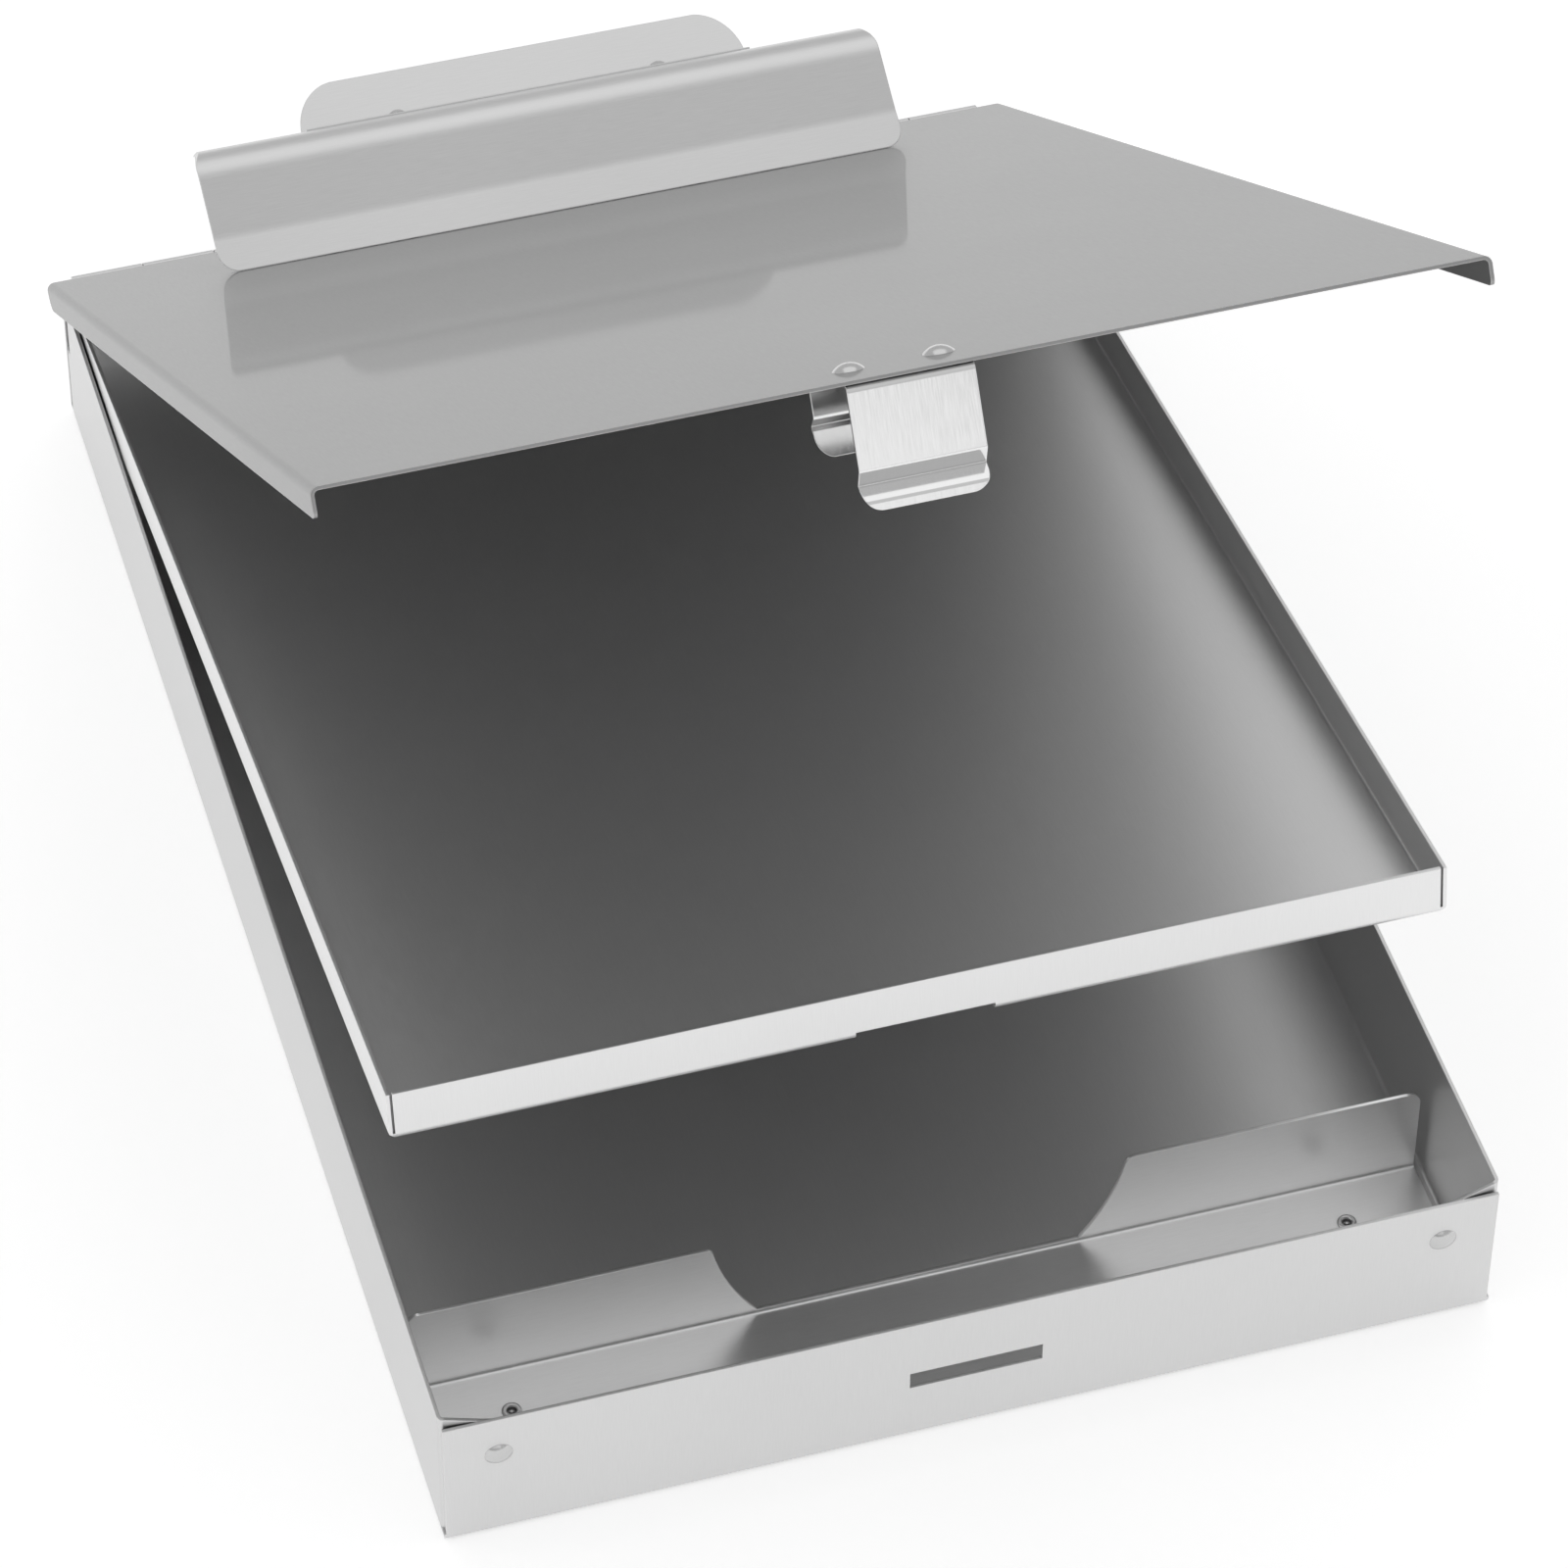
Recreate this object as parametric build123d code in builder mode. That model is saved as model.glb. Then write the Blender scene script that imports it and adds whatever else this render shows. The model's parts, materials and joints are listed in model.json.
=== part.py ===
from build123d import *
import math
import os

# Storage clipboard box: a folded sheet box with a pen trough behind its front wall, a shallow
# tray and a lid that swing on one rear hinge pin, a sprung paper clip on the lid, and a spring
# latch at the lid's front edge. Millimetres. X is across, +Y to the rear, +Z up. The origin is the
# centre of the box's underside. It stands with the tray and the lid partly open.

# ---- driving sizes -------------------------------------------------------------------------
SHEET = 0.8                   # every folded aluminium sheet
FOLD = 0.8                    # inner radius of a sheet fold

BASE_WIDTH = 230.0
BASE_DEPTH = 354.0
END_WALL_HEIGHT = 36.0        # front and rear walls
CORNER_RELIEF = 2.2           # height at which the corner tabs start
CORNER_BEND = 1.1             # centre-line radius of the side walls' corner bends
TAB_LENGTH = 18.0             # corner tab, from the side wall's outer face inwards
TAB_DROP = 18.0               # slope of a front tab's top edge, degrees
REAR_TAB_TOP = 21.5
TAB_EASE = 9.0                # radius where a front tab comes back to the wall
TAB_GAP = 0.5                 # how far a front tab springs away from the wall at its bend
FRONT_WALL_TRIM = 0.5         # front wall is this much narrower on each side above the relief

SLOT_WIDTH = 29.0             # catch slot in the front wall
SLOT_HEIGHT = 4.7
SLOT_BELOW_CATCH = 0.3        # slot's centre below the catch's tip, when shut

TROUGH_DEPTH = 40.3           # front wall's outer face to the partition's rear face
TROUGH_SIDE_GAP = 1.9         # partition's ends to the side walls
PARTITION_CLEARANCE = 0.7     # partition's top to the tray's underside, when shut
SCOOP_LOW = 36.0              # half widths of the finger scoop, low, mid-height and high
SCOOP_MID = 42.4
SCOOP_HIGH = 46.0
SCOOP_FLOOR = 2.4
SCOOP_MID_HEIGHT = 13.5
SCOOP_ROUND = 2.0             # partition's corners at the scoop, and at its ends
PARTITION_ROUND = 3.0
TROUGH_FRONT_GAP = 0.1        # trough floor to the front corner tabs

TRAY_SIDE_GAP = 0.5           # tray to the box's inner side faces
TRAY_HEIGHT = 11.9
TRAY_FRONT = 37.4             # box's front face to the tray's front face, when shut
TRAY_ABOVE_HINGE = 0.1        # tray rim above the hinge axis, when shut
TRAY_REAR_LIP = 0.5           # rear wall's top below the hinge axis
TRAY_SLIT = 0.5               # open slit at each front corner
TRAY_CORNER_CUT = 1.7
NOTCH_WIDTH = 30.0            # latch notch in the tray's front fold
NOTCH_HEIGHT = 1.9
NOTCH_DEPTH = 4.1

HINGE_ABOVE_WALL = 1.9        # hinge axis above the rear wall's top
PIN_RADIUS = 1.05
RUNNING_GAP = 0.05            # radial clearance of a pin in its bore
HINGE_END_GAP = 3.0           # hinge's ends to the box's side faces
KNUCKLE_COUNT = 13            # base, tray, lid in turn; both ends are the base's
KNUCKLE_GAP = 0.3
KNUCKLE_CLEARANCE = 0.35      # sheet to a neighbour's knuckle
BASE_LEAF_DROP = 19.2
TRAY_LEAF_LEVEL = -0.8        # strip that crosses the rear wall, below the axis
TRAY_LEAF_LIFT = 0.8          # tray leaf's lower edge above the tray's underside
TRAY_BEHIND = 4.6             # tray's rear face in front of the axis
LID_LEAF_REACH = 12.5

LID_SIDE_OVERHANG = 3.25      # beyond the box's side faces
LID_SHUT_GAP = 0.5            # lid's underside to the side walls' tops, when shut
LID_FRONT_OVERHANG = 3.3      # beyond the box's front face, when shut
LID_REAR_GAP = 2.5            # lid's rear edge in front of the axis
LID_UNDERSIDE = 0.8           # above the hinge axis, when shut
LID_FLANGE = 6.2
LID_FOLD = 1.0                # inner radius of the lid's folds
FLANGE_REAR_ROUND = 4.5
FLANGE_FRONT_ROUND = 1.5

TRAY_OPEN = 10.0              # stored angles above the shut position, degrees
LID_OPEN = 35.1

CLIP_SHEET = 1.0
CLIP_WIDTH = 165.0
CLIP_TOP_ROUND = 4.2
CLIP_FOOT_ROUND = 4.5
CLIP_TOP = 27.2               # top of the rounded outline above the lid
CREST_RADIUS = 9.0
KNEE_RADIUS = 11.0
SHELF_END = (11.0, 22.4)      # jaw profile: distance from the lid's rear edge, height above it
CREST = (26.6, 28.6)
KNEE = (36.5, 7.6)
FOOT = (41.7, -0.2)
FOOT_GAP = 0.12               # the profile is cut off this far above the lid
LEVER_SHEET = 0.6
LEVER_WIDTH = 108.5
LEVER_ROUND = 11.0
LEVER_TOP = (5.0, 35.0)
LEVER_FRONT = 9.0             # along the shelf from its rear end
LEVER_BEND = 2.4
LEVER_RIVET = 6.3
LEVER_RIVET_SPACING = 63.6
PIVOT = (20.0, 12.0)
PIVOT_RADIUS = 1.5
EAR_RADIUS = 4.2
EAR_ON_SHELF = (1.0, 8.0)     # where the jaw's ears start and end along the shelf
SHELF_WIDTH = 121.0
CREST_END = 20.5              # where the sheet ends beside the shelf, as for the profile
BRACKET_EARS = 109.0          # between the centres of the bracket's two ears
EAR_STEP = 3.4                # from a bracket ear's centre to the jaw ear's centre
BRACKET_REAR = 10.5
BRACKET_FRONT = 33.0
BRACKET_FOLD = 1.5            # centre-line radius of its folds
BRACKET_RIVETS_X = 35.0
BRACKET_RIVETS = (16.0, 29.0)

SPRING_WIRE = 0.6             # radius of the torsion springs' wire
SPRING_COIL = 3.0             # centre-line radius
SPRING_PITCH = 3.4
SPRING_HALF_TURNS = 7
SPRING_START = 24.0           # distance of each coil's inner end from the middle
SPRING_LEG_ANGLE = 35.0

LATCH_SHEET = 0.8
LATCH_WIDTH = 25.8
LATCH_REAR_WIDTH = 22.8
LATCH_SETBACK = 0.6           # front leg's face behind the lid's front edge
LATCH_REACH = 1.3             # catch's tip behind the front wall's face, when shut
LATCH_LEG = 16.9              # length of the flat leg below the lid's underside
LATCH_CATCH = 20.3            # depth of the catch's tip
LATCH_FLARE = 23.4
LATCH_END = 25.2
LATCH_ROUND = 4.0
LATCH_FOLD = 0.5              # centre-line radius of the legs' ridges
LATCH_SHOULDER = 1.2          # and of the two folds under the lid
HOOK_GAP = 0.5                # rear leg to the tray's front face, when shut
HOOK_BELOW_TRAY = 1.1         # hook's tip below the tray's underside, when shut
HOOK_RISE = 2.0               # from the end of the flat leg to the tip
HOOK_FLARE = 6.5              # from the tip to the leg's end
HOOK_REACH = 3.5
LATCH_RIVETS_X = 9.1
LATCH_RIVETS_BACK = 12.9      # behind the lid's front edge

DOME_RADIUS = 3.0             # front corner rivets
DOME_HEIGHT = 1.1
SHANK_RADIUS = 1.6
LATCH_DOME_RADIUS = 3.3       # latch rivets
LATCH_DOME_HEIGHT = 1.5
SMALL_DOME = 2.4              # hinge, bracket and lever rivets
SMALL_DOME_HEIGHT = 0.9
LEVER_DOME_HEIGHT = 1.4
TAIL_RADIUS = 2.1
TAIL_HEIGHT = 0.5
PUNCH_GAP = 0.02              # rivet shank to its hole
CORNER_RIVET_IN = 12.2        # from the box's side faces
FRONT_RIVET_Z = 25.0
REAR_RIVET_BELOW_LEAF = 5.2   # rear corner rivets below the base leaf's lower edge
TUBE_RIVET_IN = 22.0          # from the box's side faces
TUBE_RIVET_BACK = 28.2        # behind the box's front face
TUBE_RING_RADIUS = 2.1
TUBE_RING_HEIGHT = 0.9
TUBE_BORE = 1.0
TUBE_DEPTH = 0.9              # open bore below the seat
HINGE_RIVET_SPACING = 45.0
BASE_HINGE_RIVET_DROP = 15.4
TRAY_HINGE_RIVET_DROP = 7.0
LID_HINGE_RIVET_SPACING = 33.0
LID_HINGE_RIVET_FORWARD = 8.5

# ---- derived places ------------------------------------------------------------------------
SIDE = BASE_WIDTH / 2
FRONT = -BASE_DEPTH / 2
REAR = BASE_DEPTH / 2
FOLD_OUTER = FOLD + SHEET
FOLD_LINE = FOLD + SHEET / 2
BORE_RADIUS = PIN_RADIUS + RUNNING_GAP
KNUCKLE_RADIUS = BORE_RADIUS + SHEET
HINGE_Y = REAR + KNUCKLE_RADIUS
HINGE_Z = END_WALL_HEIGHT + HINGE_ABOVE_WALL
HINGE = Vector(0, HINGE_Y, HINGE_Z)
HINGE_LENGTH = BASE_WIDTH - 2 * HINGE_END_GAP
LID_TOP = LID_UNDERSIDE + SHEET
LID_WIDTH = BASE_WIDTH + 2 * LID_SIDE_OVERHANG
SIDE_WALL_HEIGHT = HINGE_Z + LID_UNDERSIDE - LID_SHUT_GAP
LID_FRONT = HINGE_Y - FRONT + LID_FRONT_OVERHANG
TRAY_FRONT_REACH = HINGE_Y - FRONT - TRAY_FRONT
TRAY_HALF = SIDE - SHEET - TRAY_SIDE_GAP
TRAY_BOTTOM = TRAY_ABOVE_HINGE - TRAY_HEIGHT
TRAY_LEAF_DROP = -TRAY_BOTTOM - TRAY_LEAF_LIFT
PARTITION_TOP = HINGE_Z + TRAY_BOTTOM - PARTITION_CLEARANCE
SLOT_CENTRE = HINGE_Z + LID_UNDERSIDE - LATCH_CATCH - SLOT_BELOW_CATCH
HOOK_TIP = LID_UNDERSIDE - TRAY_BOTTOM + HOOK_BELOW_TRAY
HOOK_LEG = HOOK_TIP - HOOK_RISE
HOOK_END = HOOK_TIP + HOOK_FLARE
REAR_RIVET_Z = HINGE_Z - BASE_LEAF_DROP - REAR_RIVET_BELOW_LEAF
CORNER_RIVET_X = SIDE - CORNER_RIVET_IN
TUBE_RIVET_X = SIDE - TUBE_RIVET_IN
SIDES = {"left": -1, "right": 1}


def swing_frame(angle):
    """Frame of a leaf swung open by an angle: X across, Y to the rear, Z off its upper face."""
    turn = math.radians(angle)
    return Plane(origin=HINGE, x_dir=(1, 0, 0), z_dir=(0, math.sin(turn), math.cos(turn)))


def side_view(frame):
    """Sketch plane of a frame's side profile: its X is the frame's Y, its Y the frame's Z."""
    return Plane(origin=frame.origin, x_dir=frame.y_dir, z_dir=frame.x_dir)


def front_view(frame, y=0.0):
    """Sketch plane seen from the front: its X is the frame's X, its Y the frame's Z."""
    origin = frame.from_local_coords(Vector(0, y, 0))
    return Plane(origin=origin, x_dir=frame.x_dir, z_dir=-frame.y_dir)


def seat(frame, x, y, z, normal=None):
    """Plane at a point of a frame, facing along its Z or along another direction."""
    origin = frame.from_local_coords(Vector(x, y, z))
    return Plane(origin=origin, x_dir=frame.x_dir, z_dir=normal if normal else frame.z_dir)


BOX = Plane.XY
SHUT = swing_frame(0)
TRAY = swing_frame(TRAY_OPEN)
LID = swing_frame(LID_OPEN)


def on_lid(point):
    """Lid profile coordinates of (distance from the lid's rear edge, height above the lid)."""
    back, height = point
    return (-LID_REAR_GAP - back, LID_TOP + height)


def save(piece, name):
    """Label a finished piece and write it to its own file."""
    piece.part.label = name
    export_step(piece.part, f"parts/{name}.step")


def punch(seats, radius=SHANK_RADIUS + PUNCH_GAP):
    """Round holes through the sheets of the open piece, at rivet seats."""
    with Locations(*seats):
        Cylinder(radius, 4 * SHEET + 2 * CLIP_SHEET, mode=Mode.SUBTRACT)


def knuckles(frame, turn):
    """Every third knuckle of the hinge as rings on the open piece, starting at number turn."""
    pitch = HINGE_LENGTH / KNUCKLE_COUNT
    room = 2 * (KNUCKLE_RADIUS + KNUCKLE_CLEARANCE)
    for number in range(KNUCKLE_COUNT):
        x = -HINGE_LENGTH / 2 + pitch * (number + 0.5)
        centre = frame.from_local_coords(Vector(x, 0, 0))
        with Locations(Plane(origin=centre, x_dir=frame.y_dir, z_dir=frame.x_dir)):
            if number % 3 == turn:
                Cylinder(KNUCKLE_RADIUS, pitch - KNUCKLE_GAP)
                Cylinder(BORE_RADIUS, pitch, mode=Mode.SUBTRACT)
            else:
                Box(room, room, pitch + KNUCKLE_GAP, mode=Mode.SUBTRACT)


def add_rivet(name, place, grip, dome=(DOME_RADIUS, DOME_HEIGHT), tail=TAIL_HEIGHT):
    """Solid rivet: a low dome on the seat, a shank through the grip and a flat tail below it."""
    head, height = dome
    ball = (head**2 + height**2) / (2 * height)
    half = math.asin(head / ball) / 2
    middle = (ball * math.sin(half), height - ball + ball * math.cos(half))
    with BuildPart() as rivet:
        with BuildSketch(Plane(origin=place.origin, x_dir=place.x_dir, z_dir=-place.y_dir)):
            with BuildLine():
                ThreePointArc((0, height), middle, (head, 0))
                Polyline((head, 0), (SHANK_RADIUS, 0), (SHANK_RADIUS, -grip), (TAIL_RADIUS, -grip),
                         (TAIL_RADIUS, -grip - tail), (0, -grip - tail), (0, height))
            make_face()
        revolve(axis=Axis(place.origin, place.z_dir))
    save(rivet, name)


def add_tube_rivet(name, place):
    """Tubular rivet: a rolled ring on the seat round a bore that is open from above."""
    grip = 2 * SHEET
    with BuildPart() as rivet:
        with BuildSketch(Plane(origin=place.origin, x_dir=place.x_dir, z_dir=-place.y_dir)):
            with BuildLine():
                ThreePointArc((TUBE_BORE, 0), ((TUBE_BORE + TUBE_RING_RADIUS) / 2, TUBE_RING_HEIGHT),
                              (TUBE_RING_RADIUS, 0))
                Polyline((TUBE_RING_RADIUS, 0), (SHANK_RADIUS, 0), (SHANK_RADIUS, -grip), (0, -grip),
                         (0, -TUBE_DEPTH), (TUBE_BORE, -TUBE_DEPTH), (TUBE_BORE, 0))
            make_face()
        revolve(axis=Axis(place.origin, place.z_dir))
    save(rivet, name)


# ---- rivet seats, shared by the rivets and the holes ---------------------------------------
to_front, to_rear = Vector(0, -1, 0), Vector(0, 1, 0)
hinge_columns = [HINGE_RIVET_SPACING * step for step in (-2, -1, 0, 1, 2)]
lid_columns = [LID_HINGE_RIVET_SPACING * step for step in (-2, -1, 0, 1, 2)]
front_corner_seats = [seat(BOX, side * CORNER_RIVET_X, FRONT, FRONT_RIVET_Z, to_front)
                      for side in (-1, 1)]
rear_corner_seats = [seat(BOX, side * CORNER_RIVET_X, REAR, REAR_RIVET_Z, to_rear) for side in (-1, 1)]
trough_seats = [seat(BOX, side * TUBE_RIVET_X, FRONT + TUBE_RIVET_BACK, 2 * SHEET)
                for side in (-1, 1)]
base_hinge_seats = [seat(BOX, x, REAR + SHEET, HINGE_Z - BASE_HINGE_RIVET_DROP, to_rear)
                    for x in hinge_columns]
tray_hinge_seats = [seat(TRAY, x, -TRAY_BEHIND - SHEET, -TRAY_HINGE_RIVET_DROP, -TRAY.y_dir)
                    for x in hinge_columns]
lid_hinge_seats = [seat(LID, x, -LID_HINGE_RIVET_FORWARD, LID_TOP) for x in lid_columns]
bracket_seats = [seat(LID, side * BRACKET_RIVETS_X, on_lid((back, 0))[0], LID_TOP + CLIP_SHEET)
                 for back in BRACKET_RIVETS for side in (-1, 1)]
latch_seats = [seat(LID, side * LATCH_RIVETS_X, -LID_FRONT + LATCH_RIVETS_BACK, LID_TOP)
               for side in (-1, 1)]


def build_base_box():
    """Open box folded from one sheet, with corner tabs behind its front and rear walls."""
    with BuildPart() as base_box:
        with Locations((0, 0, SIDE_WALL_HEIGHT / 2)):
            Box(BASE_WIDTH, BASE_DEPTH, SIDE_WALL_HEIGHT)
        fillet(base_box.faces().sort_by(Axis.Z)[0].edges(), FOLD_OUTER)
        offset(amount=-SHEET, openings=base_box.faces().sort_by(Axis.Z)[-1])
        # the front and rear walls are lower than the sides
        for wall in (FRONT + SHEET / 2, REAR - SHEET / 2):
            with Locations((0, wall, END_WALL_HEIGHT)):
                Box(BASE_WIDTH, SHEET, SIDE_WALL_HEIGHT, mode=Mode.SUBTRACT,
                    align=(Align.CENTER, Align.CENTER, Align.MIN))
        # the side walls leave the corners above the relief
        bend = CORNER_BEND + SHEET
        for end in (FRONT + SHEET, REAR - SHEET - 2 * bend):
            with Locations((0, end, CORNER_RELIEF)):
                Box(BASE_WIDTH, 2 * bend, SIDE_WALL_HEIGHT, mode=Mode.SUBTRACT,
                    align=(Align.CENTER, Align.MIN, Align.MIN))
        for side in (-1, 1):
            with Locations((side * SIDE, FRONT, CORNER_RELIEF)):
                Box(2 * FRONT_WALL_TRIM, 2 * SHEET, SIDE_WALL_HEIGHT, mode=Mode.SUBTRACT,
                    align=(Align.CENTER, Align.CENTER, Align.MIN))
        # each side wall turns in behind the end wall as a tab
        wall = SIDE - SHEET / 2
        front_tab = FRONT + 1.5 * SHEET
        rear_tab = REAR - 1.5 * SHEET
        with BuildSketch(Plane.XY.offset(CORNER_RELIEF)):
            with BuildLine():
                FilletPolyline((wall, FRONT + SHEET + 2 * bend), (wall, front_tab + TAB_GAP),
                               (CORNER_RIVET_X + DOME_RADIUS, front_tab), (SIDE - TAB_LENGTH, front_tab),
                               radius=(CORNER_BEND, TAB_EASE))
            trace(line_width=SHEET)
            mirror(about=Plane.YZ)
        extrude(amount=SIDE_WALL_HEIGHT - CORNER_RELIEF)
        with BuildSketch(Plane.XY.offset(CORNER_RELIEF)):
            with BuildLine():
                FilletPolyline((wall, REAR - SHEET - 2 * bend), (wall, rear_tab),
                               (SIDE - TAB_LENGTH, rear_tab), radius=CORNER_BEND)
            trace(line_width=SHEET)
            mirror(about=Plane.YZ)
        extrude(amount=REAR_TAB_TOP - CORNER_RELIEF)
        # the front tabs' top edges slope down from the corners
        drop = TAB_LENGTH * math.tan(math.radians(TAB_DROP))
        start = SIDE - SHEET - CORNER_BEND / 2
        with BuildSketch(Plane.XZ.offset(-FRONT - SHEET)):
            with BuildLine():
                Polyline((start, SIDE_WALL_HEIGHT), (start - TAB_LENGTH, SIDE_WALL_HEIGHT - drop),
                         (start - TAB_LENGTH, SIDE_WALL_HEIGHT + SHEET),
                         (start, SIDE_WALL_HEIGHT + SHEET), close=True)
            make_face()
            mirror(about=Plane.YZ)
        extrude(amount=-2 * bend, mode=Mode.SUBTRACT)
        with Locations((0, FRONT, SLOT_CENTRE)):
            Box(SLOT_WIDTH, 4 * SHEET, SLOT_HEIGHT, mode=Mode.SUBTRACT)
        punch(front_corner_seats + rear_corner_seats + trough_seats + base_hinge_seats)
    save(base_box, "base_box")


def build_pen_trough():
    """Floor plate with an upturned partition, scooped out in the middle for fingers."""
    half = SIDE - SHEET - TROUGH_SIDE_GAP
    front_line = FRONT + 2 * SHEET + TROUGH_FRONT_GAP
    rear_line = FRONT + TROUGH_DEPTH - SHEET / 2
    with BuildPart() as pen_trough:
        with BuildSketch(Plane.YZ):
            with BuildLine():
                FilletPolyline((front_line, 1.5 * SHEET), (rear_line, 1.5 * SHEET),
                               (rear_line, PARTITION_TOP), radius=FOLD_LINE)
            trace(line_width=SHEET)
        extrude(amount=half, both=True)
        with BuildSketch(Plane.XZ.offset(-rear_line)):
            with BuildLine():
                right = ThreePointArc((SCOOP_LOW, SCOOP_FLOOR), (SCOOP_MID, SCOOP_MID_HEIGHT),
                                      (SCOOP_HIGH, PARTITION_TOP))
                mirror(right, about=Plane.YZ)
                Line((-SCOOP_LOW, SCOOP_FLOOR), (SCOOP_LOW, SCOOP_FLOOR))
                Line((-SCOOP_HIGH, PARTITION_TOP), (SCOOP_HIGH, PARTITION_TOP))
            make_face()
        extrude(amount=2 * FOLD_OUTER, both=True, mode=Mode.SUBTRACT)
        tops = pen_trough.edges().filter_by(Axis.Y).group_by(Axis.Z)[-1].sort_by(Axis.X)
        fillet([tops[0], tops[-1]], PARTITION_ROUND)
        tops = pen_trough.edges().filter_by(Axis.Y).group_by(Axis.Z)[-1].sort_by(Axis.X)
        fillet(tops, SCOOP_ROUND)
        punch(trough_seats)
    save(pen_trough, "pen_trough")


def build_middle_tray():
    """Shallow folded tray that hangs between the box's side walls."""
    length = TRAY_FRONT_REACH - TRAY_BEHIND
    middle = -(TRAY_FRONT_REACH + TRAY_BEHIND) / 2
    up = Axis(TRAY.origin, TRAY.z_dir)
    low_rear = (Align.CENTER, Align.CENTER, Align.MIN)
    with BuildPart() as middle_tray:
        with Locations(TRAY):
            with Locations((0, middle, TRAY_BOTTOM + TRAY_HEIGHT / 2)):
                Box(2 * TRAY_HALF, length, TRAY_HEIGHT)
        fillet(middle_tray.faces().sort_by(up)[0].edges(), FOLD_OUTER)
        offset(amount=-SHEET, openings=middle_tray.faces().sort_by(up)[-1])
        with Locations(TRAY):
            with Locations((0, -TRAY_BEHIND, -TRAY_REAR_LIP)):
                Box(2 * (TRAY_HALF - SHEET), 4 * SHEET, TRAY_HEIGHT, mode=Mode.SUBTRACT, align=low_rear)
            for side in (-1, 1):
                with Locations((side * (TRAY_HALF - SHEET - TRAY_SLIT / 2), -TRAY_FRONT_REACH,
                                TRAY_BOTTOM + TRAY_CORNER_CUT)):
                    Box(TRAY_SLIT, 4 * SHEET, TRAY_HEIGHT, mode=Mode.SUBTRACT, align=low_rear)
                with Locations((side * TRAY_HALF, -TRAY_FRONT_REACH, TRAY_BOTTOM)):
                    Box(TRAY_CORNER_CUT * math.sqrt(2), 4 * SHEET, TRAY_CORNER_CUT * math.sqrt(2),
                        rotation=(0, 45, 0), mode=Mode.SUBTRACT)
            with Locations((0, -TRAY_FRONT_REACH, TRAY_BOTTOM)):
                Box(NOTCH_WIDTH, 2 * NOTCH_DEPTH, 2 * NOTCH_HEIGHT, mode=Mode.SUBTRACT)
        punch(tray_hinge_seats)
    save(middle_tray, "middle_tray")


def build_lid_panel():
    """Flat lid with a narrow flange folded down along each side."""
    wall = LID_WIDTH / 2 - SHEET / 2
    top = LID_TOP - SHEET / 2
    with BuildPart() as lid_panel:
        with BuildSketch(front_view(LID, -LID_REAR_GAP)):
            with BuildLine():
                FilletPolyline((-wall, LID_TOP - LID_FLANGE), (-wall, top), (wall, top),
                               (wall, LID_TOP - LID_FLANGE), radius=LID_FOLD + SHEET / 2)
            trace(line_width=SHEET)
        extrude(amount=LID_FRONT - LID_REAR_GAP)
        lips = lid_panel.edges().filter_by(Axis.X).filter_by(lambda edge: edge.length < 2 * SHEET)
        lips = lips.sort_by(Axis.Y)
        fillet(lips[-2:], FLANGE_REAR_ROUND)
        lips = lid_panel.edges().filter_by(Axis.X).filter_by(lambda edge: edge.length < 2 * SHEET)
        fillet(lips.sort_by(Axis.Y)[:2], FLANGE_FRONT_ROUND)
        punch(lid_hinge_seats + bracket_seats + latch_seats)
    save(lid_panel, "lid_panel")


def build_hinge():
    """Pin and three interleaved leaves: the box's, the tray's and the lid's."""
    half = HINGE_LENGTH / 2
    with BuildPart() as hinge_leaf_base:
        with BuildSketch(side_view(SHUT)):
            with Locations((-KNUCKLE_RADIUS + SHEET / 2, -BASE_LEAF_DROP / 2)):
                Rectangle(SHEET, BASE_LEAF_DROP)
        extrude(amount=half, both=True)
        knuckles(SHUT, 0)
        punch(base_hinge_seats)
    save(hinge_leaf_base, "hinge_leaf_base")

    root = -(BORE_RADIUS + KNUCKLE_RADIUS) / 2
    with BuildPart() as hinge_leaf_tray:
        with BuildSketch(side_view(TRAY)):
            with BuildLine():
                FilletPolyline((root, TRAY_LEAF_LEVEL), (-TRAY_BEHIND + SHEET / 2, TRAY_LEAF_LEVEL),
                               (-TRAY_BEHIND + SHEET / 2, -TRAY_LEAF_DROP), radius=FOLD_LINE)
            trace(line_width=SHEET)
        extrude(amount=half, both=True)
        knuckles(TRAY, 1)
        punch(tray_hinge_seats)
    save(hinge_leaf_tray, "hinge_leaf_tray")

    with BuildPart() as hinge_leaf_lid:
        with BuildSketch(side_view(LID)):
            with Locations(((root - LID_LEAF_REACH) / 2, LID_UNDERSIDE - SHEET / 2)):
                Rectangle(LID_LEAF_REACH + root, SHEET)
        extrude(amount=half, both=True)
        knuckles(LID, 2)
        punch(lid_hinge_seats)
    save(hinge_leaf_lid, "hinge_leaf_lid")

    with BuildPart() as hinge_pin:
        with BuildSketch(side_view(SHUT)):
            Circle(PIN_RADIUS)
        extrude(amount=half, both=True)
    save(hinge_pin, "hinge_pin")


def along_shelf(distance, lift):
    """Lid profile point on the jaw's shelf, from its rear end forwards and off its centre line."""
    rear = Vector(*on_lid(SHELF_END))
    forward = (Vector(*on_lid(CREST)) - rear).normalized()
    point = rear + forward * distance + Vector(forward.Y, -forward.X) * lift
    return (point.X, point.Y)


shelf_lift = [LID.from_local_coords(Vector(0, *along_shelf(0, lift))) for lift in (0, 1)]
shelf_normal = shelf_lift[1] - shelf_lift[0]
lever_top = along_shelf(LEVER_RIVET, CLIP_SHEET / 2 + LEVER_SHEET)
lever_seats = [seat(LID, side * LEVER_RIVET_SPACING / 2, *lever_top, shelf_normal) for side in (-1, 1)]


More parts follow.
